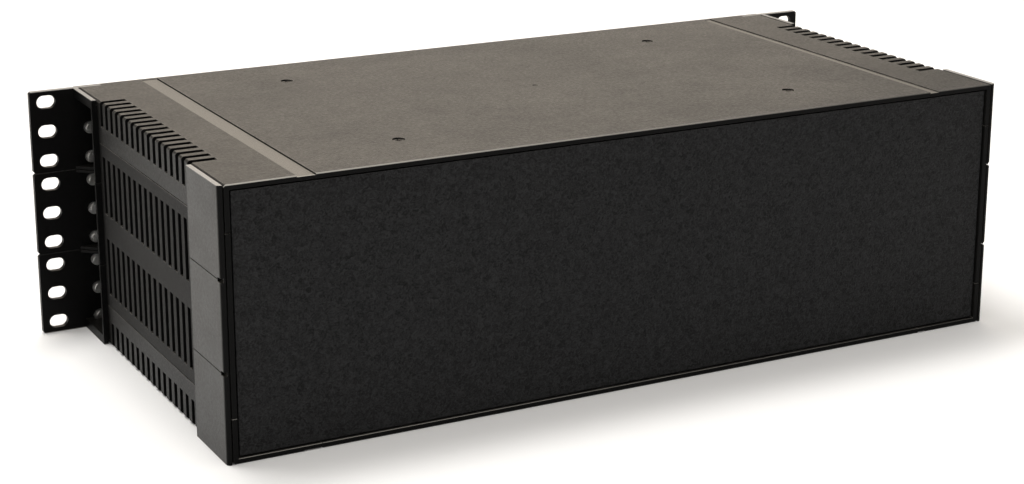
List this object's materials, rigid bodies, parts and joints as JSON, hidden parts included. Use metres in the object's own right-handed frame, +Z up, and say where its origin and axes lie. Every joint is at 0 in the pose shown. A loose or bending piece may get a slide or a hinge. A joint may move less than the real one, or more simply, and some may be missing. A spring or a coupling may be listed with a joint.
{
  "type": "power amplifier",
  "caption": "Rack-mounting audio power amplifier in a vented moulded enclosure with slotted ears, a blank rear panel, front controls and sockets.",
  "frame": {"origin": "on the surface it stands on, at the middle of its overall width and depth, knobs included", "axes": "+X to the right seen from the front, the front faces -Y, +Z up"},
  "size_m": [0.4826, 0.239, 0.1326],
  "materials": {
    "moulded_black": "fine moulded texture",
    "panel_black": "fine textured black",
    "zinc_steel": "zinc plated",
    "black_steel": "black oxide",
    "bare_aluminium": "mill finish",
    "pad_rubber": "matt",
    "winding_tape": "clear polyester tape over winding",
    "anodised_black": "black anodised",
    "epoxy_black": "moulded",
    "board_green": "solder resist",
    "capacitor_sleeve": "shrink sleeve",
    "switch_gloss": "glossy moulded",
    "contact_nickel": "nickel plated",
    "knob_black": "satin",
    "socket_black": "satin moulded",
    "lens_clear": "coloured lens"
  },
  "bodies": {
    "enclosure": {"top_plate": "moulded_black", "bottom_plate": "moulded_black", "left_upper_rail": "moulded_black", "left_lower_rail": "moulded_black", "right_upper_rail": "moulded_black", "right_lower_rail": "moulded_black", "left_side_panel": "moulded_black", "right_side_panel": "moulded_black", "left_lower_ear": "moulded_black", "left_middle_ear": "moulded_black", "left_upper_ear": "moulded_black", "right_lower_ear": "moulded_black", "right_middle_ear": "moulded_black", "right_upper_ear": "moulded_black", "left_lower_cap": "moulded_black", "left_middle_cap": "moulded_black", "left_upper_cap": "moulded_black", "right_lower_cap": "moulded_black", "right_middle_cap": "moulded_black", "right_upper_cap": "moulded_black", "rear_panel": "panel_black", "front_panel": "panel_black", "panel_inserts": "zinc_steel", "panel_screws": "zinc_steel", "connector_screws": "zinc_steel", "cover_pillars": "zinc_steel", "cover_screws": "black_steel", "chassis_tray": "bare_aluminium", "transformer_pad": "pad_rubber", "transformer": "winding_tape", "transformer_clamp": "zinc_steel", "transformer_bolt": "zinc_steel", "left_heatsink": "anodised_black", "right_heatsink": "anodised_black", "output_transistors": "epoxy_black", "left_amplifier_board": "board_green", "right_amplifier_board": "board_green", "power_supply_board": "board_green", "input_board": "board_green", "filter_capacitors": "capacitor_sleeve", "bridge_rectifier": "epoxy_black", "board_standoffs": "zinc_steel", "switch_housing": "switch_gloss", "mains_inlet": "switch_gloss", "inlet_blades": "contact_nickel", "fuse_holder": "switch_gloss", "left_level_control": "contact_nickel", "right_level_control": "contact_nickel", "left_input_socket": "socket_black", "right_input_socket": "socket_black", "input_cores": "socket_black", "left_speaker_socket": "socket_black", "right_speaker_socket": "socket_black", "indicator_lenses": "lens_clear"},
    "power_rocker": {"power_rocker": "switch_gloss"},
    "fuse_cap": {"fuse_cap": "switch_gloss"},
    "left_level_knob": {"left_level_knob": "knob_black"},
    "right_level_knob": {"right_level_knob": "knob_black"},
    "left_latch_tab": {"left_latch_tab": "contact_nickel"},
    "right_latch_tab": {"right_latch_tab": "contact_nickel"}
  },
  "joints": [
    {"name": "power_rocker_tilt", "type": "hinge", "parent": "enclosure", "child": "power_rocker", "pos_m": [-0.172, -0.1015, 0.092], "axis": [1, 0, 0], "range_deg": [-20, 0]},
    {"name": "fuse_cap_turn", "type": "hinge", "parent": "enclosure", "child": "fuse_cap", "pos_m": [-0.132, -0.1055, 0.092], "axis": [0, 1, 0], "range_deg": [-60, 0]},
    {"name": "left_level_turn", "type": "hinge", "parent": "enclosure", "child": "left_level_knob", "pos_m": [-0.07, -0.104, 0.092], "axis": [0, 1, 0], "range_deg": [-150, 150]},
    {"name": "right_level_turn", "type": "hinge", "parent": "enclosure", "child": "right_level_knob", "pos_m": [-0.015, -0.104, 0.092], "axis": [0, 1, 0], "range_deg": [-150, 150]},
    {"name": "left_latch_press", "type": "slide", "parent": "enclosure", "child": "left_latch_tab", "axis": [0, 1, 0], "range_m": [0, 0.0024], "stiffness_N_per_m": 300, "springref_m": -0.002},
    {"name": "right_latch_press", "type": "slide", "parent": "enclosure", "child": "right_latch_tab", "axis": [0, 1, 0], "range_m": [0, 0.0024], "stiffness_N_per_m": 300, "springref_m": -0.002}
  ]
}
